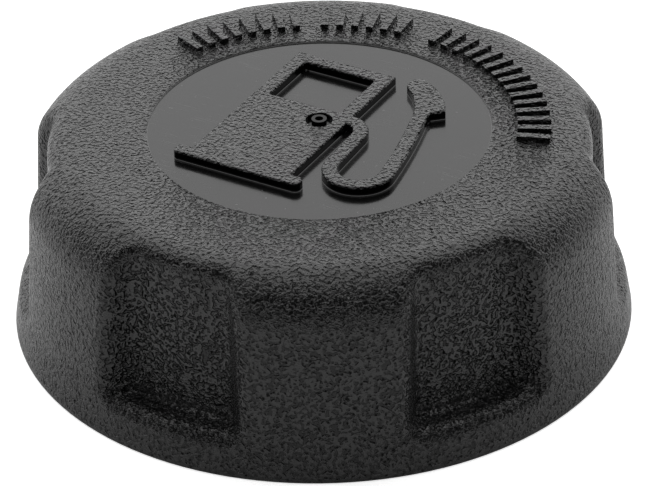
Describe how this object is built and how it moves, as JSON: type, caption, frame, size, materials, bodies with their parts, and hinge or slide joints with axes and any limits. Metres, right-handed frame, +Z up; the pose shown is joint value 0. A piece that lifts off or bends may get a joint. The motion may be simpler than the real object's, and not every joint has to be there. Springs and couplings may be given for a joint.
{
  "type": "fuel filler cap",
  "caption": "Round moulded screw cap for a fuel tank neck, with finger flutes, a raised pump symbol on a smooth disc, and a gasket and vent baffle inside.",
  "frame": {"origin": "centre of the rim's lower face, which the cap stands on", "axes": "+Z up through the grained top, +Y the way up of the pump symbol"},
  "size_m": [0.06, 0.06, 0.021],
  "materials": {
    "cap_plastic": "black moulded polypropylene, grained all over but for a satin disc on the top",
    "gasket_rubber": "black nitrile rubber, dull",
    "filter_foam": "dark grey open-cell foam",
    "baffle_plastic": "black moulded polypropylene, smooth"
  },
  "bodies": {
    "root": {"cap_body": "cap_plastic", "seal_gasket": "gasket_rubber", "vent_foam": "filter_foam", "vent_baffle": "baffle_plastic"}
  },
  "joints": []
}
